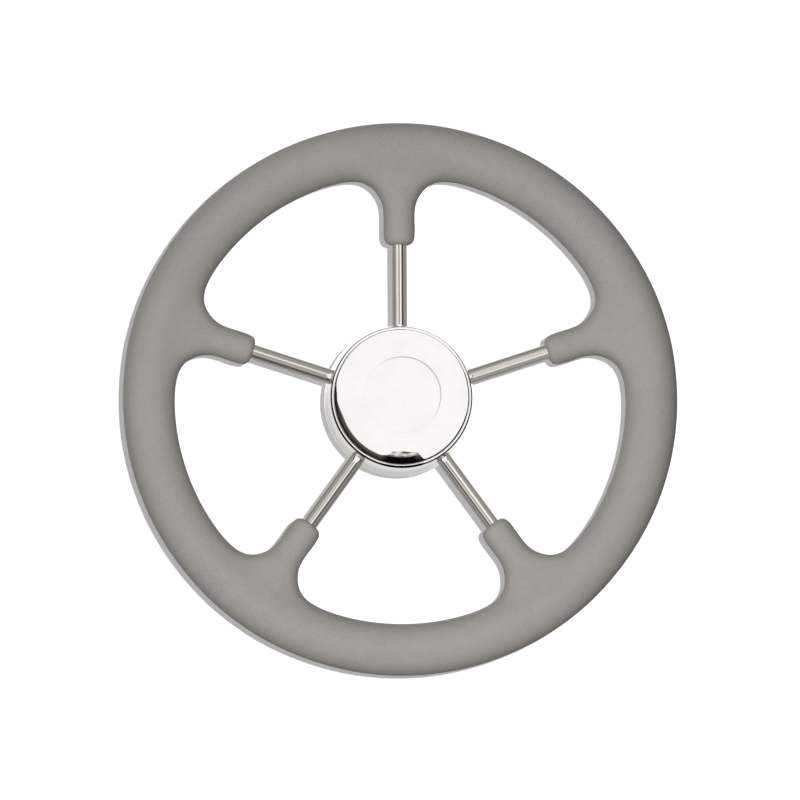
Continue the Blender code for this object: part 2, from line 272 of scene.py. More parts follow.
def node(tree, kind, sockets=None, **settings):
    """Adds a node. A socket gets a constant, or another node's output to link."""
    made = tree.nodes.new(kind)
    for name, value in settings.items():
        setattr(made, name, value)
    for name, value in (sockets or {}).items():
        if isinstance(value, bpy.types.NodeSocket):
            tree.links.new(value, made.inputs[name])
        else:
            made.inputs[name].default_value = value
    return made


def blank(name):
    """A new material, with its tree, its shader and the piece's own coordinates."""
    made = bpy.data.materials.new(name)
    made.use_nodes = True
    tree = made.node_tree
    shader = tree.nodes["Principled BSDF"]
    where = node(tree, "ShaderNodeTexCoord").outputs["Object"]
    return made, tree, shader, where


def noise(tree, where, scale, detail=2, roughness=0.5):
    sockets = {"Vector": where, "Scale": scale, "Detail": detail, "Roughness": roughness}
    return node(tree, "ShaderNodeTexNoise", sockets).outputs["Fac"]


def stretched(tree, where, stretch):
    """Coordinates scaled by a different amount along each axis."""
    sockets = {0: where, 1: stretch}
    return node(tree, "ShaderNodeVectorMath", sockets, operation="MULTIPLY").outputs[0]


def span(tree, value, low, high, start=0.0, end=1.0):
    """Maps a value from one range to another."""
    sockets = {"Value": value, "From Min": start, "From Max": end, "To Min": low, "To Max": high}
    return node(tree, "ShaderNodeMapRange", sockets).outputs[0]


def blend_colour(tree, share, first, second):
    sockets = {"Factor": share, "A": first, "B": second}
    made = node(tree, "ShaderNodeMix", data_type="RGBA")
    for socket_name, value in sockets.items():
        socket = next(s for s in made.inputs if s.name == socket_name and s.enabled)
        if isinstance(value, bpy.types.NodeSocket):
            tree.links.new(value, socket)
        else:
            socket.default_value = value
    return next(s for s in made.outputs if s.enabled)


def sum_of(tree, first, second, operation="ADD"):
    return node(tree, "ShaderNodeMath", {0: first, 1: second}, operation=operation).outputs[0]


def bump(tree, shader, height, distance):
    made = node(tree, "ShaderNodeBump", {"Height": height, "Distance": distance, "Strength": 1.0})
    tree.links.new(made.outputs[0], shader.inputs["Normal"])


def length_of(tree, vector):
    return node(tree, "ShaderNodeVectorMath", {0: vector}, operation="LENGTH").outputs["Value"]


def turning_lines(tree, where, fine, round_the_axis):
    """Noise drawn out along circles about the spin axis."""
    across = stretched(tree, where, (1, 1, 0))
    distance = length_of(tree, across)
    heading = node(tree, "ShaderNodeVectorMath", {0: across}, operation="NORMALIZE").outputs[0]
    heading_parts = node(tree, "ShaderNodeSeparateXYZ", {0: heading})
    height = node(tree, "ShaderNodeSeparateXYZ", {0: where}).outputs["Z"]
    radial = sum_of(tree, sum_of(tree, distance, height), fine, "MULTIPLY")
    x = sum_of(tree, heading_parts.outputs["X"], round_the_axis, "MULTIPLY")
    y = sum_of(tree, heading_parts.outputs["Y"], round_the_axis, "MULTIPLY")
    joined = node(tree, "ShaderNodeCombineXYZ", {"X": radial, "Y": x, "Z": y}).outputs[0]
    return noise(tree, joined, 1, 2)


def clear_from_behind(tree, shader, share):
    """Lets a share of what is behind a surface show through it."""
    clear = node(tree, "ShaderNodeBsdfTransparent").outputs[0]
    mixed = node(tree, "ShaderNodeMixShader", {0: share, 1: shader.outputs[0], 2: clear})
    output = next(n for n in tree.nodes if n.type == "OUTPUT_MATERIAL")
    tree.links.new(mixed.outputs[0], output.inputs["Surface"])


# Materials

FOAM_CREASE_SHADE = (0.25, 0.24, 0.224, 1)
FOAM_CREST = (0.305, 0.293, 0.275, 1)
FOAM_PALE = (0.33, 0.317, 0.298, 1)
FOAM_GRAIN = 0.07 * MM
HAIRLINE = 0.0006 * MM


def foam_skin():
    """Grey integral-skin foam with a fine leather grain, painted darker in the grain's creases as shade, and
    a little uneven in colour and polish.
    """
    made, tree, shader, where = blank("grey_polyurethane")
    blotches = noise(tree, where, 16, 3)
    cloudy = noise(tree, where, 140, 4, 0.6)
    mixed = sum_of(tree, sum_of(tree, blotches, 0.5, "MULTIPLY"), sum_of(tree, cloudy, 0.5, "MULTIPLY"))
    waves = node(tree, "ShaderNodeTexNoise", {"Vector": where, "Scale": 420, "Detail": 2}).outputs["Color"]
    shift = stretched(tree, waves, (1.6 * MM, 1.6 * MM, 1.6 * MM))
    wavy = node(tree, "ShaderNodeVectorMath", {0: where, 1: shift}, operation="ADD").outputs[0]
    cells = node(tree, "ShaderNodeTexVoronoi", {"Vector": wavy, "Scale": 760}, feature="DISTANCE_TO_EDGE")
    pebbles = span(tree, cells.outputs["Distance"], 0, 1, 0, 0.22)
    wrinkles = noise(tree, where, 900, 3, 0.6)
    # Painted shade: the grain's creases darker than its crests.
    crease_shaded = blend_colour(tree, pebbles, FOAM_CREASE_SHADE, FOAM_CREST)
    worn = blend_colour(tree, span(tree, mixed, 0, 0.5, 0.35, 0.65), crease_shaded, FOAM_PALE)
    tree.links.new(worn, shader.inputs["Base Color"])
    tree.links.new(span(tree, cloudy, 0.5, 0.66, 0.3, 0.7), shader.inputs["Roughness"])
    bump(tree, shader, sum_of(tree, pebbles, wrinkles), FOAM_GRAIN)
    shader.inputs["Specular IOR Level"].default_value = 0.4
    shader.inputs["Sheen Weight"].default_value = 0.04
    shader.inputs["Sheen Roughness"].default_value = 0.5
    return made


def steel(name, colour, worn, rough, lines, relief):
    """Metal with a fine line pattern, and a film of wear that changes its tint and its gloss."""
    made, tree, shader, where = blank(name)
    pattern = lines(tree, where)
    film = noise(tree, where, 55, 4, 0.6)
    tint = blend_colour(tree, span(tree, film, 0, 1, 0.3, 0.7), colour, worn)
    tree.links.new(tint, shader.inputs["Base Color"])
    low, high = rough
    gloss = span(tree, film, low, high, 0.35, 0.7)
    streaks = span(tree, pattern, 0, 0.35 * (high - low), 0.3, 0.7)
    tree.links.new(sum_of(tree, gloss, streaks), shader.inputs["Roughness"])
    shader.inputs["Metallic"].default_value = 1
    bump(tree, shader, pattern, relief)
    return made


def rod_steel():
    """Mirror polished bar, with hairlines along it."""

    def lines(tree, where):
        return noise(tree, stretched(tree, where, (12, 2600, 2600)), 1, 2)

    bright, worn = (0.86, 0.855, 0.84, 1), (0.79, 0.78, 0.76, 1)
    return steel("polished_rod", bright, worn, (0.03, 0.075), lines, HAIRLINE)


def hub_steel(name):
    """Mirror polished pressing, with very faint turned hairlines."""

    def lines(tree, where):
        return turning_lines(tree, where, 2600, 2.5)

    bright, worn = (0.9, 0.895, 0.885, 1), (0.84, 0.83, 0.82, 1)
    return steel(name, bright, worn, (0.04, 0.09), lines, HAIRLINE)


def hub_steel_painted_shade(name, painted_shade_share_of, tone):
    """The hub's steel, blended towards a darker tone by a share that depends on the radius and on the way to
    the upper right: painted reflection and painted shade, not a duller finish.
    """
    made = hub_steel(name)
    tree = made.node_tree
    shader = tree.nodes["Principled BSDF"]
    polished = shader.inputs["Base Color"].links[0].from_socket
    where = node(tree, "ShaderNodeTexCoord").outputs["Object"]
    radius = length_of(tree, stretched(tree, where, (1, 1, 0)))
    parts = node(tree, "ShaderNodeSeparateXYZ", {0: where})
    upper_right = sum_of(tree, parts.outputs["X"], parts.outputs["Y"])
    share = painted_shade_share_of(tree, radius, upper_right)
    # Painted reflection and shade: the polished colour darkened by position on the piece.
    tree.links.new(blend_colour(tree, share, polished, tone), shader.inputs["Base Color"])
    return made


def cap_steel_painted_shade():
    """The hub's steel, with a painted dark reflection along the corner of the recess, strongest to the upper
    right, and a painted shade along the rim's edge where the gap to the lip is.
    """

    def painted_shade_share_of(tree, radius, upper_right):
        # Painted reflection in the recess's corner and painted shade at the rim's edge.
        offset = sum_of(tree, sum_of(tree, radius, RECESS_R, "SUBTRACT"), 0, "ABSOLUTE")
        line = span(tree, offset, 1, 0, 0.1 * MM, 0.55 * MM)
        painted_corner_reflection = sum_of(tree, line, span(tree, upper_right, 0.05, 0.75, 0, 25 * MM), "MULTIPLY")
        edge = span(tree, radius, 0, 0.85, CAP_R - 0.55 * MM, CAP_R - 0.15 * MM)
        return sum_of(tree, painted_corner_reflection, edge, "MAXIMUM")

    return hub_steel_painted_shade("polished_cap_painted_shade", painted_shade_share_of, (0.3, 0.29, 0.275, 1))


def cup_steel_painted_shade():
    """The hub's steel, with a painted dark reflection on the outer side, lighter towards the upper right
    where the light falls.
    """

    def painted_shade_share_of(tree, radius, upper_right):
        # Painted reflection of shade on the outer side, weaker to the upper right.
        side = span(tree, radius, 0, 1, SHELL_R - 2.2 * MM, SHELL_R - 0.9 * MM)
        return sum_of(tree, side, span(tree, upper_right, 0.75, 0.3, 10 * MM, 45 * MM), "MULTIPLY")

    return hub_steel_painted_shade("polished_cup_painted_shade", painted_shade_share_of, (0.45, 0.445, 0.435, 1))


def machined_steel():
    """Turned steel: open tool marks round the axis."""

    def lines(tree, where):
        return turning_lines(tree, where, 5200, 1.2)

    bright, worn = (0.62, 0.62, 0.61, 1), (0.5, 0.5, 0.49, 1)
    return steel("machined_steel", bright, worn, (0.2, 0.36), lines, 0.008 * MM)


def fastener_steel():
    """Satin plated screws and washers."""

    def lines(tree, where):
        return noise(tree, where, 2400, 3)

    bright, worn = (0.68, 0.675, 0.65, 1), (0.55, 0.54, 0.52, 1)
    return steel("plated_steel", bright, worn, (0.24, 0.38), lines, 0.006 * MM)


def bar_steel():
    """Drawn bar, for the ring that is hidden in the grip."""

    def lines(tree, where):
        return turning_lines(tree, where, 1800, 3)

    bright, worn = (0.5, 0.5, 0.49, 1), (0.4, 0.38, 0.36, 1)
    return steel("rim_bar_steel", bright, worn, (0.32, 0.5), lines, 0.01 * MM)


def black_polymer(name, tone, rough, grain, relief):
    """Matt black moulding with a fine spark-eroded grain."""
    made, tree, shader, where = blank(name)
    speckle = noise(tree, where, grain, 3)
    dust = noise(tree, where, 90, 4, 0.65)
    dusty = tuple(1.7 * c for c in tone)
    tint = blend_colour(tree, span(tree, dust, 0, 1, 0.4, 0.75), (*tone, 1), (*dusty, 1))
    tree.links.new(tint, shader.inputs["Base Color"])
    low, high = rough
    tree.links.new(span(tree, dust, low, high, 0.3, 0.7), shader.inputs["Roughness"])
    bump(tree, shader, speckle, relief)
    return made


def black_nylon():
    return black_polymer("black_nylon", (0.028, 0.028, 0.029), (0.45, 0.62), 1500, 0.02 * MM)


def black_nitrile():
    return black_polymer("black_nitrile", (0.018, 0.018, 0.018), (0.5, 0.75), 2600, 0.008 * MM)


# The grip

CAGE_SIDES = 8
CAGE_STEPS = (9.5, 13, 13.5, 13.5, 13, 9.5)  # degrees from one cage column to the next, spoke to spoke


def cage_columns():
    """The angle of each of the cage's columns, and how much of its radius it keeps once it is subdivided."""
    columns = []
    angle = TOP
    for _ in range(SPOKES):
        for n, step in enumerate(CAGE_STEPS):
            before = math.cos(math.radians(CAGE_STEPS[n - 1]))
            after = math.cos(math.radians(step))
            columns.append((angle, (4 + before + after) / 6))
            angle += math.radians(step)
    return columns


def section_share():
    """How much of the cage section's radius is left once it is subdivided."""
    return (2 + math.cos(math.tau / CAGE_SIDES)) / 3


def boot_sections():
    """(distance from the spin axis, half width, half depth) of the sections down a boot."""
    return [
        (RIM_R - 29 * MM, 12.2 * MM, 11 * MM),
        (RIM_R - 38 * MM, NECK_HALF, NECK_HALF),
        (BOOT_END_R + 12 * MM, BOOT_HALF, BOOT_HALF),
        (BOOT_END_R + 7.5 * MM, BOOT_HALF, BOOT_HALF),
        (BOOT_END_R + 1.5 * MM, BOOT_HALF - 0.5 * MM, BOOT_HALF - 0.5 * MM),
        (BOOT_END_R - 0.5 * MM, 5.8 * MM, 5.8 * MM),
    ]


def draw_boot(bm, patch, angle):
    """Draws a two by two patch of faces inwards through the boot's sections."""
    inward = Matrix.Rotation(angle, 3, "Z")
    full = 1 / section_share()
    for distance, half_width, half_depth in boot_sections():
        drawn = bmesh.ops.extrude_face_region(bm, geom=patch)["geom"]
        bmesh.ops.delete(bm, geom=patch, context="FACES")
        patch = [f for f in drawn if isinstance(f, bmesh.types.BMFace)]
        for v in {v for f in patch for v in f.verts}:
            local = inward.inverted() @ v.co
            side = (local.y > MM) - (local.y < -MM)
            depth = (local.z > RIM_Z + MM) - (local.z < RIM_Z - MM)
            share = full * math.sqrt(0.5) if side and depth else full
            offset = Vector((distance, side * share * half_width, RIM_Z + depth * share * half_depth))
            v.co = inward @ offset


def grip_cage():
    """The rim's tube as a coarse cage, with a boot drawn inwards at each spoke."""
    bm = bmesh.new()
    tube = GRIP_TUBE_R / section_share()
    rows = []
    for angle, kept in cage_columns():
        row = []
        for j in range(CAGE_SIDES):
            s = math.tau * j / CAGE_SIDES
            r = (WHEEL_R - GRIP_TUBE_R + tube * math.cos(s)) / kept
            row.append(bm.verts.new((r * math.cos(angle), r * math.sin(angle), RIM_Z + tube * math.sin(s))))
        rows.append(row)
    faces = {}
    for i, near in enumerate(rows):
        far = rows[(i + 1) % len(rows)]
        for j in range(CAGE_SIDES):
            k = (j + 1) % CAGE_SIDES
            faces[i, j] = bm.faces.new((near[j], far[j], far[k], near[k]))
    inner = CAGE_SIDES // 2
    for spoke in range(SPOKES):
        i = spoke * len(CAGE_STEPS)
        patch = [faces[n % len(rows), j] for n in (i - 1, i) for j in (inner - 1, inner)]
        draw_boot(bm, patch, spoke_angle(spoke))
    return to_mesh(bm, "grip_cage")


def soft_grip(skin):
    cage = bpy.data.objects.new("cage", grip_cage())
    bpy.context.scene.collection.objects.link(cage)
    subdivision = cage.modifiers.new("round", "SUBSURF")
    subdivision.levels = 3
    seen = cage.evaluated_get(bpy.context.evaluated_depsgraph_get())
    mesh = bpy.data.meshes.new_from_object(seen)
    bpy.data.objects.remove(cage)
    mesh.shade_smooth()
    grip = place("grip", mesh, skin, "wheel", ["soft_grip"])
    return grip


# Frame pieces


def rod_mesh():
    """A bar along +X from the hub plate to the rim's core bar, which its outer end is coped to."""
    sides = 64
    chamfer = 0.5 * MM
    start = PLATE_R + GAP
    reach = CORE_BAR_R + GAP
    bm = bmesh.new()
    rings = []
    for x, radius in ((start, SPOKE_R - chamfer), (start + chamfer, SPOKE_R), (None, SPOKE_R)):
        ring = []
        for i in range(sides):
            a = math.tau * i / sides
            y, z = radius * math.cos(a), radius * math.sin(a)
            inner = RIM_R - math.sqrt(reach**2 - z**2)
            along = math.sqrt(inner**2 - y**2) if x is None else x
            ring.append(bm.verts.new((along, y, z + RIM_Z)))
        rings.append(ring)
    skin_rows(bm, rings)
    return smooth(to_mesh(bm, "rod"))


def spokes(metal):
    mesh = rod_mesh()
    for k in range(SPOKES):
        place(f"rod_{k + 1}", mesh, metal, "wheel", [f"spoke_{k + 1}"], spoke_angle(k))


def ring_mesh(radius, bar_r, height, round_steps, sides):
    profile = arc((radius, height), bar_r, 0, 360 * (sides - 1) / sides, sides - 1)
    return smooth(lathe(profile, "ring", steps=round_steps))


def core_ring(metal):
    mesh = ring_mesh(RIM_R, CORE_BAR_R, RIM_Z, TURN_STEPS, 32)
    place("core_ring", mesh, metal, "wheel", ["rim_core_ring"])


def hub_shell(metal):
    """A pressed cup with a rolled lip at the front."""
    widest = SHELL_BACK + SHELL_CORNER
    lip_z = LIP_TOP - LIP_ROLL
    inner_roll = LIP_ROLL - SHELL_WALL
    hole = BOSS_FLANGE_R + GAP
    profile = arc((LIP_R, lip_z), LIP_ROLL, 180, SHELL_DRAFT, 24)
    profile += arc((SHELL_R - SHELL_CORNER, widest), SHELL_CORNER, SHELL_DRAFT, -90, 16)
    profile += [(hole, SHELL_BACK), (hole, SHELL_BACK + SHELL_WALL)]
    profile += arc((SHELL_R - SHELL_CORNER, widest), SHELL_CORNER - SHELL_WALL, -90, SHELL_DRAFT, 12)
    profile += arc((LIP_R, lip_z), inner_roll, SHELL_DRAFT, 180, 12)
    profile += [(LIP_R - inner_roll, lip_z - LIP_TAIL), (LIP_R - LIP_ROLL, lip_z - LIP_TAIL)]
    mesh = smooth(lathe(profile, "hub_cup"))
    return place("hub_cup", mesh, metal, "wheel", ["hub_shell"])


def screw_rooms(low, high):
    """The rooms of the screws, between two heights."""
    hole = bar(SCREW_R + GAP, low, high)
    return [moved(hole, between_angle(k), SCREW_CIRCLE_R) for k in range(SPOKES)]


def hub_plate(metal):
    """The thick round plate that the rods are welded to."""
    chamfer = 1 * MM
    bore = BOSS_SPIGOT_R + GAP
    corners = [
        (bore, PLATE_FRONT, 0.3 * MM),
        (PLATE_R - chamfer, PLATE_FRONT, 0.3 * MM),
        (PLATE_R, PLATE_FRONT - chamfer, 0.3 * MM),
        (PLATE_R, PLATE_BACK + chamfer, 0.3 * MM),
        (PLATE_R - chamfer, PLATE_BACK, 0.3 * MM),
        (bore, PLATE_BACK, 0.3 * MM),
    ]
    mesh = cut(lathe(rounded(corners, 3), "plate"), screw_rooms(PLATE_BACK - MM, PLATE_FRONT + MM))
    place("spoke_plate", smooth(mesh), metal, "wheel", ["hub_plate"])


def taper_r(z):
    """The shaft bore's radius at a height above the boss's rear face."""
    return TAPER_R - TAPER_SLOPE * z


def keyway_room():
    """The room of the keyway, over the whole height of the bore."""
    bm = bmesh.new()
    bmesh.ops.create_cube(bm, size=1)
    mesh = to_mesh(bm, "keyway")
    mesh.transform(Matrix.Diagonal((KEYWAY_WIDTH, KEYWAY_TOP, 2 * BOSS_FRONT, 1)))
    mesh.transform(Matrix.Translation((0, KEYWAY_TOP / 2, BOSS_FRONT / 2)))
    return mesh


def taper_boss(metal):
    """A flanged boss with a taper bore for the helm shaft, and a keyway at the top."""
    edge = 0.6 * MM
    face = PLATE_BACK - GAP
    corners = [
        (taper_r(BOSS_FRONT), BOSS_FRONT, edge / 2),
        (BOSS_SPIGOT_R, BOSS_FRONT, edge),
        (BOSS_SPIGOT_R, face, edge / 2),
        (BOSS_FLANGE_R, face, edge / 2),
        (BOSS_FLANGE_R, SHELL_BACK, edge),
        (BOSS_BARREL_R, SHELL_BACK, edge),
        (BOSS_BARREL_R, BOSS_BACK, edge),
        (TAPER_R, BOSS_BACK, edge / 2),
    ]
    rooms = screw_rooms(SHELL_BACK + 1.5 * MM, PLATE_FRONT)
    mesh = cut(lathe(rounded(corners, 4), "boss"), [keyway_room(), *rooms])
    place("shaft_boss", smooth(mesh), metal, "wheel", ["taper_boss"])


# Fasteners


def knurled(mesh, low, high, flutes=30, depth=0.12 * MM):
    """Presses flutes into the side of a screw's head."""
    for v in mesh.vertices:
        distance = math.hypot(v.co.x, v.co.y)
        if low < v.co.z < high and distance > SCREW_HEAD_R - 0.1 * MM:
            share = 1 - depth / distance * (0.5 + 0.5 * math.cos(flutes * math.atan2(v.co.y, v.co.x)))
            v.co.x *= share
            v.co.y *= share
    return mesh


def thread_points(low, high, pitch=0.8 * MM, depth=0.35 * MM):
    """A screw thread's outline as plain ridges."""
    points = []
    count = int((high - low) / pitch)
    for i in range(count):
        z = high - i * pitch
        points.append((SCREW_R, z))
        points.append((SCREW_R - depth, z - pitch / 2))
    return points


def boss_screws(metal):
    """Socket head screws from the front."""
    seat = SCREW_TOP - SCREW_HEAD
    edge = 0.6 * MM
    profile = [(0, SCREW_TOP), (SCREW_HEAD_R - edge, SCREW_TOP)]
    profile += arc((SCREW_HEAD_R - edge, SCREW_TOP - edge), edge, 90, 0, 4)[1:]
    profile += [(SCREW_HEAD_R, SCREW_TOP - 0.9 * MM), (SCREW_HEAD_R, seat + 0.4 * MM), (SCREW_HEAD_R, seat)]
    profile += [(SCREW_R, seat)]
    profile += thread_points(SCREW_TIP + edge, seat - 3 * MM)
    profile += [(SCREW_R - edge, SCREW_TIP), (0, SCREW_TIP)]
    turned = lathe(profile, "screw", closed=False, steps=120)
    turned = knurled(turned, seat + 0.2 * MM, SCREW_TOP - 0.7 * MM)
    socket = bar(SOCKET_R, SCREW_TOP - SOCKET_DEPTH, SCREW_TOP + MM, sides=6)
    drilled = smooth(cut(turned, [socket]))
    for k in range(SPOKES):
        turn = between_angle(k)
        mesh = moved(drilled, 0, SCREW_CIRCLE_R)
        place(f"socket_screw_{k + 1}", mesh, metal, "wheel", [f"boss_screw_{k + 1}"], turn)


def lock_washers(metal):
    """Spring washers: a square wire wound nearly once round, with its ends a little apart."""
    inner = SCREW_R + GAP
    steps = 60
    opening = math.radians(12)
    rise = 0.12 * MM
    low, high = WASHER_BACK, WASHER_FRONT - rise
    edge = 0.12 * MM
    corners = [(inner, high, edge), (WASHER_R, high, edge), (WASHER_R, low, edge), (inner, low, edge)]
    section = rounded(corners, 3)
    bm = bmesh.new()
    rows = []
    for i in range(steps + 1):
        a = opening / 2 + (math.tau - opening) * i / steps
        lift = rise * i / steps
        rows.append([bm.verts.new((r * math.cos(a), r * math.sin(a), z + lift)) for r, z in section])
    skin_rows(bm, rows)
    wound = smooth(to_mesh(bm, "washer"))
    for k in range(SPOKES):
        turn = between_angle(k)
        mesh = moved(wound, 0, SCREW_CIRCLE_R)
        place(f"spring_washer_{k + 1}", mesh, metal, "wheel", [f"lock_washer_{k + 1}"], turn)


# Cap


def dome_z(radius, dome_r, rim_z):
    """The height of the cap's dome, or of its inner face, at a radius."""
    centre = rim_z - math.sqrt(CAP_DOME_R**2 - RECESS_R**2)
    return centre + math.sqrt(dome_r**2 - radius**2)


def cap_outline():
    """The pressing's outline, from the middle of the recess over the shoulder and back along the inside."""
    edge = 0.2 * MM
    start_r = RECESS_R + edge
    rim_z = CAP_FRONT - dome_z(start_r, CAP_DOME_R, 0)
    dome_centre = dome_z(0, CAP_DOME_R, rim_z) - CAP_DOME_R
    turn_r = CAP_R - CAP_SHOULDER
    reach = CAP_DOME_R - CAP_SHOULDER
    meet = math.degrees(math.acos(turn_r / reach))
    centre_z = dome_centre + math.sqrt(reach**2 - turn_r**2)
    end_r = turn_r + CAP_SHOULDER * math.cos(math.radians(meet))
    floor = rim_z - RECESS_DEPTH
    edge_z = dome_centre + math.sqrt((CAP_DOME_R - edge) ** 2 - start_r**2)
    edge_slope = math.degrees(math.acos(start_r / (CAP_DOME_R - edge)))
    profile = [(0, floor), (RECESS_R - 2 * edge, floor)]
    profile += arc((RECESS_R - edge, floor + edge), edge, -90, -30, 6)
    profile += arc((start_r, edge_z), edge, 150, edge_slope, 8)
    rings, first = 16, 0.3
    for i in range(1, rings):
        r = start_r + (end_r - start_r) * (i + first) / (rings + first)
        profile.append((r, dome_z(r, CAP_DOME_R, rim_z)))
    profile += arc((turn_r, centre_z), CAP_SHOULDER, meet, 0, 20)
    profile += [(CAP_R, CAP_BACK), (CAP_R - CAP_WALL, CAP_BACK)]
    profile += arc((turn_r, centre_z), CAP_SHOULDER - CAP_WALL, 0, meet, 12)
    inner_rings = 8
    for i in range(1, inner_rings + 1):
        r = end_r + (RECESS_R - end_r) * i / inner_rings
        profile.append((r, min(dome_z(r, CAP_DOME_R - CAP_WALL, rim_z), floor - CAP_WALL)))
    profile.append((0, floor - CAP_WALL))
    return profile


def cap_dome(metal):
    """A domed pressing with a tight shoulder and a shallow round recess in the middle."""
    mesh = smooth(lathe(cap_outline(), "cap_dome", closed=False), sharp=25)
    return place("cap_dome", mesh, metal, "cap", ["cap_shell"])


def cap_plug(plastic):
    """The moulded ring behind the cap, with a groove for the O-ring."""
    groove_r = PLUG_R - 2 * O_RING_BAR_R
    middle = (O_RING_BACK + O_RING_FRONT) / 2
    half = O_RING_BAR_R + GAP
    edge = 0.25 * MM
    corners = [
        (PLUG_INNER_R, PLUG_FRONT, edge),
        (PLUG_R, PLUG_FRONT, edge),
        (PLUG_R, middle + half, edge),
        (groove_r, middle + half, edge),
        (groove_r, middle - half, edge),
        (PLUG_R, middle - half, edge),
        (PLUG_R, PLUG_BACK + MM, edge),
        (PLUG_R - MM, PLUG_BACK, edge),
        (PLUG_INNER_R, PLUG_BACK, edge),
    ]
    mesh = smooth(lathe(rounded(corners, 3), "plug"))
    place("plug_ring", mesh, plastic, "cap", ["cap_plug"])


def o_ring(rubber):
    mesh = ring_mesh(O_RING_R, O_RING_BAR_R, (O_RING_BACK + O_RING_FRONT) / 2, TURN_STEPS, 20)
    place("seal_ring", mesh, rubber, "cap", ["cap_o_ring"])


# Studio

CAMERA_AZIMUTH = -3.6  # degrees, like the next two
CAMERA_ELEVATION = -6.3
CAMERA_ROLL = -0.35
CAMERA_DISTANCE = 1.6
VIEW_WIDTH = 0.504
AIM_RIGHT = -0.1 * MM
AIM_DOWN = 0.3 * MM
WALL_Y = 50 * MM
WALL_HALF = 0.42
FLOOR_Z = -0.42
FLOOR_HALF = 1.6
FLOOR_FADE = (0.5, 1.5)


def towards(azimuth, elevation):
    """The direction out of the wheel at an azimuth to the right of its front and an elevation, in degrees."""
    a, e = math.radians(azimuth), math.radians(elevation)
    return Vector((math.sin(a) * math.cos(e), -math.cos(a) * math.cos(e), math.sin(e)))


def looking_back(out):
    """The turn of a camera or a lamp that looks back along a direction."""
    return (-out).to_track_quat("-Z", "Y")


def camera():
    """A camera without perspective, a little below the wheel and to the left of its front."""
    level = looking_back(towards(CAMERA_AZIMUTH, CAMERA_ELEVATION))
    turn = level @ Quaternion((0, 0, 1), math.radians(CAMERA_ROLL))
    data = bpy.data.cameras.new("camera")
    data.type = "ORTHO"
    data.ortho_scale = VIEW_WIDTH
    made = bpy.data.objects.new("camera", data)
    made.location = Vector((0, -RIM_Z, 0)) + turn @ Vector((AIM_RIGHT, -AIM_DOWN, CAMERA_DISTANCE))
    made.rotation_mode = "QUATERNION"
    made.rotation_quaternion = turn
    bpy.context.scene.collection.objects.link(made)
    bpy.context.scene.camera = made


def spot(tree, seen, colour, polar, round_it, size, tone):
    """Lays a soft-edged round spot of one tone over the room."""
    p, a = math.radians(polar), math.radians(round_it)
    turn = looking_back(towards(CAMERA_AZIMUTH, CAMERA_ELEVATION))
    centre = turn @ Vector((math.sin(p) * math.cos(a), math.sin(p) * math.sin(a), math.cos(p)))
    product = node(tree, "ShaderNodeVectorMath", {0: seen, 1: centre}, operation="DOT_PRODUCT")
    nearness = product.outputs["Value"]
    edge, middle = math.cos(math.radians(1.4 * size)), math.cos(math.radians(0.5 * size))
    sockets = {"Value": nearness, "From Min": edge, "From Max": middle, "To Min": 0, "To Max": 1}
    mask = node(tree, "ShaderNodeMapRange", sockets, interpolation_type="SMOOTHSTEP").outputs[0]
    return blend_colour(tree, mask, colour, (*tone, 1))


# Bright reflectors and dark gaps in the room. Each has an angle off the line from the wheel to the camera, an
# angle round that line, a size and a tone.
ROOM_SPOTS = (
    (31, 178, 19, (0.96, 0.93, 0.89)),
    (27, 38, 15, (1.12, 1.09, 1.05)),
    (19, 318, 11, (1.0, 0.97, 0.93)),
    (36, 100, 14, (0.78, 0.755, 0.72)),
    (22, 286, 9, (0.7, 0.675, 0.645)),
    (46, 2, 17, (0.05, 0.043, 0.038)),
    (38, 218, 14, (0.13, 0.11, 0.095)),
    (56, 256, 13, (0.1, 0.083, 0.068)),
    (88, 322, 17, (0.1, 0.085, 0.07)),
    (80, 268, 14, (0.01, 0.008, 0.007)),
    (86, 226, 13, (0.05, 0.034, 0.022)),
    (168, 60, 22, (1.0, 0.99, 0.97)),
)
ROOM_FRONT = (0.39, 0.37, 0.345, 1)
ROOM_BACK = (0.37, 0.36, 0.345, 1)
SOFT_FRONT = (0.06, 0.06, 0.06, 1)
SOFT_BACK = (0.2, 0.2, 0.2, 1)
SEEN_WHITE = (1.05, 1.05, 1.05, 1)


def studio_light():
    """A white surround, weak even light on matt faces, and a room of reflectors and gaps for the metal."""
    world = bpy.data.worlds.new("studio")
    bpy.context.scene.world = world
    world.use_nodes = True
    world.cycles.sampling_method = "NONE"
    tree = world.node_tree
    background = tree.nodes["Background"]
    seen = node(tree, "ShaderNodeTexCoord").outputs["Generated"]
    parts = node(tree, "ShaderNodeSeparateXYZ", {0: seen})
    depth = span(tree, parts.outputs["Y"], 0, 1, -1, 1)
    room = blend_colour(tree, depth, ROOM_FRONT, ROOM_BACK)
    for polar, round_it, size, tone in ROOM_SPOTS:
        room = spot(tree, seen, room, polar, round_it, size, tone)
    soft = blend_colour(tree, depth, SOFT_FRONT, SOFT_BACK)
    rays = node(tree, "ShaderNodeLightPath")
    lit = blend_colour(tree, rays.outputs["Is Glossy Ray"], soft, room)
    shown = blend_colour(tree, rays.outputs["Is Camera Ray"], lit, SEEN_WHITE)
    tree.links.new(shown, background.inputs["Color"])


def linked(name, objects, state):
    """A group of objects that lamps can be linked to."""
    chosen = bpy.data.collections.new(name)
    for entry in objects:
        chosen.objects.link(entry)
    for entry in chosen.collection_objects:
        entry.light_linking.link_state = state
    return chosen


def light_only(lamp, objects, state="INCLUDE"):
    """Limits a lamp to some objects, or keeps it off them."""
    lamp.light_linking.receiver_collection = linked(f"{lamp.name}_lit", objects, state)


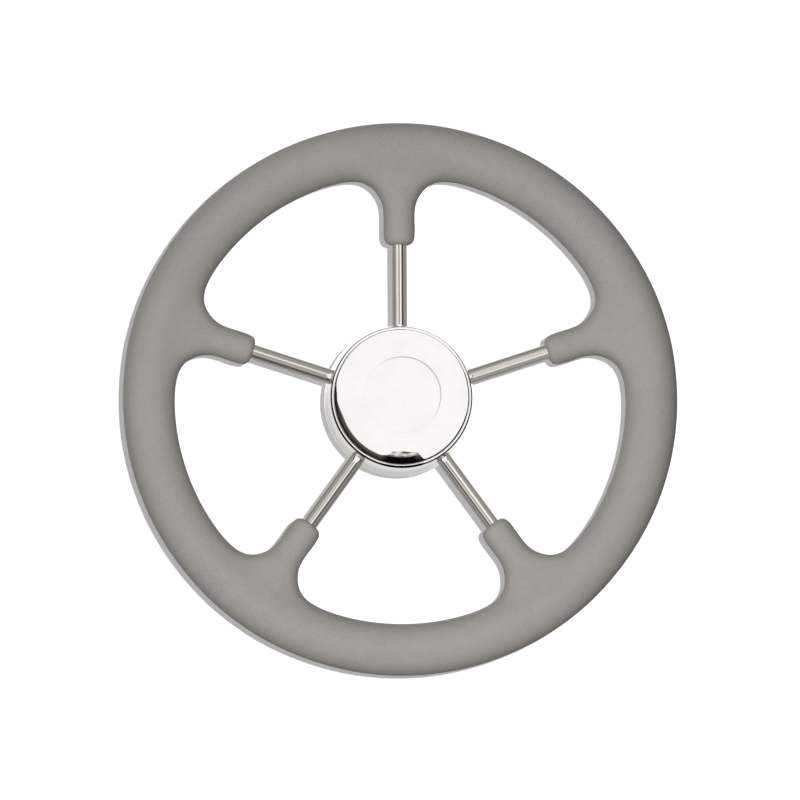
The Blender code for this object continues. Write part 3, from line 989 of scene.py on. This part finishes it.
def shine_through(bowl):
    """Lets every lamp made so far shine through the bowl."""
    passed = linked("passed_by_lamps", [bowl], "EXCLUDE")
    for lamp in bpy.context.scene.objects:
        if lamp.type == "LIGHT":
            lamp.light_linking.blocker_collection = passed


def sun(name, out, strength, angle):
    """A far lamp that shines back along a direction, and isn't mirrored itself."""
    data = bpy.data.lights.new(name, "SUN")
    data.energy = strength
    data.angle = math.radians(angle)
    made = bpy.data.objects.new(name, data)
    made.rotation_mode = "QUATERNION"
    made.rotation_quaternion = looking_back(out)
    bpy.context.scene.collection.objects.link(made)
    made.visible_glossy = False
    return made


def wheel_key(stage):
    """The main light on the wheel, from the upper left, and a weak one for its back."""
    key = sun("wheel_key", towards(-12.5, 2.5), strength=3.16, angle=8)
    light_only(key, stage, "EXCLUDE")
    back_key = sun("back_key", towards(200, 28), strength=1.2, angle=30)
    back_key.data.use_shadow = False
    light_only(back_key, stage, "EXCLUDE")


def low_fill(lit):
    """A weak warm lamp below the wheel, which lifts its lower half a little."""
    place_of_lamp = Vector((0.05, -0.55, -0.55))
    lowest = Vector((0, 0, -RIM_R))
    lamp = bpy.data.lights.new("low_fill", "AREA")
    lamp.shape = "DISK"
    lamp.size = 0.3
    lamp.energy = 1.1
    lamp.color = (1, 0.97, 0.93)
    made = bpy.data.objects.new("low_fill", lamp)
    made.location = place_of_lamp
    made.rotation_mode = "QUATERNION"
    made.rotation_quaternion = (place_of_lamp - lowest).to_track_quat("Z", "Y")
    bpy.context.scene.collection.objects.link(made)
    made.visible_camera = False
    made.visible_glossy = False
    light_only(made, lit)


def backdrop_lights(wall, floor):
    """A lamp that throws the wheel's crisp shadow on the wall, a shadowless fill, and a soft top light."""
    out = towards(CAMERA_AZIMUTH + 2.1, CAMERA_ELEVATION + 1.35)
    shadow_lamp = sun("wall_key", out, strength=2.78, angle=0.5)
    light_only(shadow_lamp, [wall])
    fill = sun("wall_fill", towards(0, 0), strength=1.34, angle=1)
    fill.data.use_shadow = False
    light_only(fill, [wall])
    top = sun("floor_key", towards(0, 80), strength=3.4, angle=50)
    light_only(top, [floor])


TENT_SIDES = 12
TENT_R = 0.9
TENT_FRONT = 1.0
TENT_BACK_WIDTH = 0.8
TENT_TONE = 0.6
TENT_BACK_TONE = 0.45


def panel(name, matrix, size, tone, faces):
    """A white rectangle of light that only some faces mirror. A single size makes a disc of that width."""
    data = bpy.data.lights.new(name, "AREA")
    if len(size) == 1:
        data.shape = "DISK"
        data.size = size[0]
        area = math.pi * size[0] ** 2 / 4
    else:
        data.shape = "RECTANGLE"
        data.size, data.size_y = size
        area = size[0] * size[1]
    data.energy = tone * math.pi * area
    made = bpy.data.objects.new(name, data)
    made.matrix_world = matrix
    bpy.context.scene.collection.objects.link(made)
    made.visible_camera = False
    made.visible_diffuse = False
    light_only(made, faces)


def facing_back(centre, outward, along):
    """The place of a panel that shines against its outward direction, with its second side along another."""
    axes = Matrix((along.cross(outward), along, outward)).transposed()
    return Matrix.Translation(centre) @ axes.to_4x4()


def hub_tent(faces):
    """White panels before the hub, round the space there and on the wall behind it, for its faces only."""
    forward, upward = Vector((0, -1, 0)), Vector((0, 0, 1))
    front = facing_back(forward * TENT_FRONT, forward, upward)
    panel("tent_front", front, (2 * TENT_R,), TENT_TONE, faces)
    back = facing_back(-forward * WALL_Y, -forward, upward)
    panel("tent_back", back, (TENT_BACK_WIDTH,), TENT_BACK_TONE, faces)
    for k in range(TENT_SIDES):
        a = math.tau * k / TENT_SIDES
        outward = Vector((math.cos(a), 0, math.sin(a)))
        centre = outward * TENT_R + forward * TENT_FRONT / 2
        size = (2 * TENT_R * math.tan(math.pi / TENT_SIDES), TENT_FRONT)
        panel(f"tent_{k}", facing_back(centre, outward, forward), size, TENT_TONE, faces)


# The bowl before the cap. Each row has an angle round from the right, and how many degrees off the front its
# white and its dark hem reach there.
BOWL_REACH = (
    (0, 87, 92),
    (60, 91, 92),
    (120, 90, 92),
    (160, 87, 92),
    (180, 84, 92),
    (200, 81, 92),
    (250, 81.2, 93),
    (256, 79.5, 93),
    (261, 74.5, 93),
    (270, 73.5, 93),
    (285, 76, 93),
    (291, 86, 93),
    (330, 86, 92),
    (360, 87, 92),
)
BOWL_R = 48.5 * MM
BOWL_TONE = 1.09
BOWL_COLUMNS = 180
BOWL_ROWS = 24


def bowl_reach(degrees):
    """How far the bowl's white and its hem reach off the front, at an angle round it."""
    for (a, *first), (b, *last) in zip(BOWL_REACH, BOWL_REACH[1:]):
        if degrees <= b:
            share = (degrees - a) / (b - a)
            share *= share * (3 - 2 * share)
            return [low + (high - low) * share for low, high in zip(first, last)]


def bowl_white(tree, where):
    """Even white with a faint cloudiness."""
    clouds = noise(tree, where, 14, 3)
    return blend_colour(tree, clouds, (0.99, 0.985, 0.975, 1), (1, 0.997, 0.99, 1))


def bowl_hem(tree, where):
    """Brown that darkens towards the edge, black at the lowest part, with pale streaks next to the white."""
    parts = node(tree, "ShaderNodeSeparateXYZ", {0: where})
    height = parts.outputs["Z"]
    deep = span(tree, height, 0, 1, 0.155 * BOWL_R, 0.08 * BOWL_R)
    brown = blend_colour(tree, deep, (0.15, 0.115, 0.092, 1), (0.022, 0.016, 0.012, 1))
    low = span(tree, parts.outputs["Y"], 0, 1, -0.93 * BOWL_R, -0.96 * BOWL_R)
    dark = blend_colour(tree, low, brown, (0.003, 0.003, 0.003, 1))
    streaks = span(tree, noise(tree, stretched(tree, where, (130, 130, 600)), 1, 2), 0, 1, 0.4, 0.58)
    upper = span(tree, height, 0, 1, 0.165 * BOWL_R, 0.2 * BOWL_R)
    pale = blend_colour(tree, streaks, (0.09, 0.062, 0.05, 1), (0.85, 0.79, 0.75, 1))
    return blend_colour(tree, upper, dark, pale)


def glow(name, colours):
    """A surface that shines inwards and is clear from outside."""
    made, tree, shader, where = blank(name)
    shader.inputs["Base Color"].default_value = (0, 0, 0, 1)
    shader.inputs["Specular IOR Level"].default_value = 0
    tree.links.new(colours(tree, where), shader.inputs["Emission Color"])
    shader.inputs["Emission Strength"].default_value = BOWL_TONE
    made.cycles.emission_sampling = "NONE"
    clear_from_behind(tree, shader, node(tree, "ShaderNodeNewGeometry").outputs["Backfacing"])
    return made


def bowl_point(column, row):
    """A point of the bowl. The row past the last one is the hem's edge."""
    degrees = 360 * column / BOWL_COLUMNS
    white, hem = bowl_reach(degrees)
    polar = math.radians(hem if row > BOWL_ROWS else white * row / BOWL_ROWS)
    a = math.radians(degrees)
    r = BOWL_R * math.sin(polar)
    return r * math.cos(a), r * math.sin(a), BOWL_R * math.cos(polar)


def bowl_mesh():
    bm = bmesh.new()
    crown = bm.verts.new((0, 0, BOWL_R))
    rings = []
    for row in range(1, BOWL_ROWS + 2):
        rings.append([bm.verts.new(bowl_point(column, row)) for column in range(BOWL_COLUMNS)])
    for i in range(BOWL_COLUMNS):
        k = (i + 1) % BOWL_COLUMNS
        bm.faces.new((crown, rings[0][k], rings[0][i]))
        for j in range(BOWL_ROWS):
            near, far = rings[j], rings[j + 1]
            face = bm.faces.new((near[k], far[k], far[i], near[i]))
            face.material_index = int(j == BOWL_ROWS - 1)
    mesh = bpy.data.meshes.new("white_bowl")
    bm.to_mesh(mesh)
    bm.free()
    mesh.materials.append(glow("bowl_white", bowl_white))
    mesh.materials.append(glow("bowl_hem", bowl_hem))
    return mesh


def white_bowl():
    """A bowl close round the front of the cap, which is only seen in polished faces."""
    bowl = bpy.data.objects.new("white_bowl", bowl_mesh())
    bowl.matrix_world = Matrix.Translation((0, -CAP_BACK, 0)) @ STAND_UP
    bpy.context.scene.collection.objects.link(bowl)
    bowl.visible_camera = False
    bowl.visible_diffuse = False
    bowl.visible_transmission = False
    return bowl


def one_sided(name, colour, fade=None):
    """A matt material that is clear from behind, and fades out between two distances from the middle."""
    made, tree, shader, where = blank(name)
    shader.inputs["Base Color"].default_value = colour
    shader.inputs["Roughness"].default_value = 1
    shader.inputs["Specular IOR Level"].default_value = 0
    share = node(tree, "ShaderNodeNewGeometry").outputs["Backfacing"]
    if fade:
        share = sum_of(tree, share, span(tree, length_of(tree, where), 0, 1, *fade), "MAXIMUM")
    clear_from_behind(tree, shader, share)
    return made


def sheet_of(name, half, material, matrix):
    bm = bmesh.new()
    bmesh.ops.create_grid(bm, x_segments=2, y_segments=2, size=half)
    mesh = bpy.data.meshes.new(name)
    bm.to_mesh(mesh)
    bm.free()
    mesh.materials.append(material)
    made = bpy.data.objects.new(name, mesh)
    made.matrix_world = matrix
    bpy.context.scene.collection.objects.link(made)
    return made


def backdrop():
    """A white wall close behind the wheel, and a plain pale floor below it."""
    white = one_sided("backdrop_white", (0.8, 0.8, 0.8, 1))
    pale = one_sided("floor_pale", (0.84, 0.84, 0.835, 1), FLOOR_FADE)
    upright = Matrix.Rotation(math.radians(90), 4, "X")
    wall = sheet_of("wall", WALL_HALF, white, Matrix.Translation((0, WALL_Y, 0)) @ upright)
    floor = sheet_of("floor", FLOOR_HALF, pale, Matrix.Translation((0, 0, FLOOR_Z)))
    for part in (wall, floor):
        part.visible_glossy = False
        part.visible_diffuse = False
        part.visible_shadow = False
    return wall, floor


def main():
    machined = machined_steel()
    fastener = fastener_steel()
    grip = soft_grip(foam_skin())
    core_ring(bar_steel())
    spokes(rod_steel())
    shell = hub_shell(cup_steel_painted_shade())
    hub_plate(machined)
    taper_boss(machined)
    boss_screws(fastener)
    lock_washers(fastener)
    cap = cap_dome(cap_steel_painted_shade())
    cap_plug(black_nylon())
    o_ring(black_nitrile())
    bpy.context.scene.view_settings.view_transform = "Standard"
    camera()
    studio_light()
    stage = backdrop()
    wheel_key(stage)
    low_fill([grip])
    backdrop_lights(*stage)
    shine_through(white_bowl())
    hub_tent([shell, cap])


main()
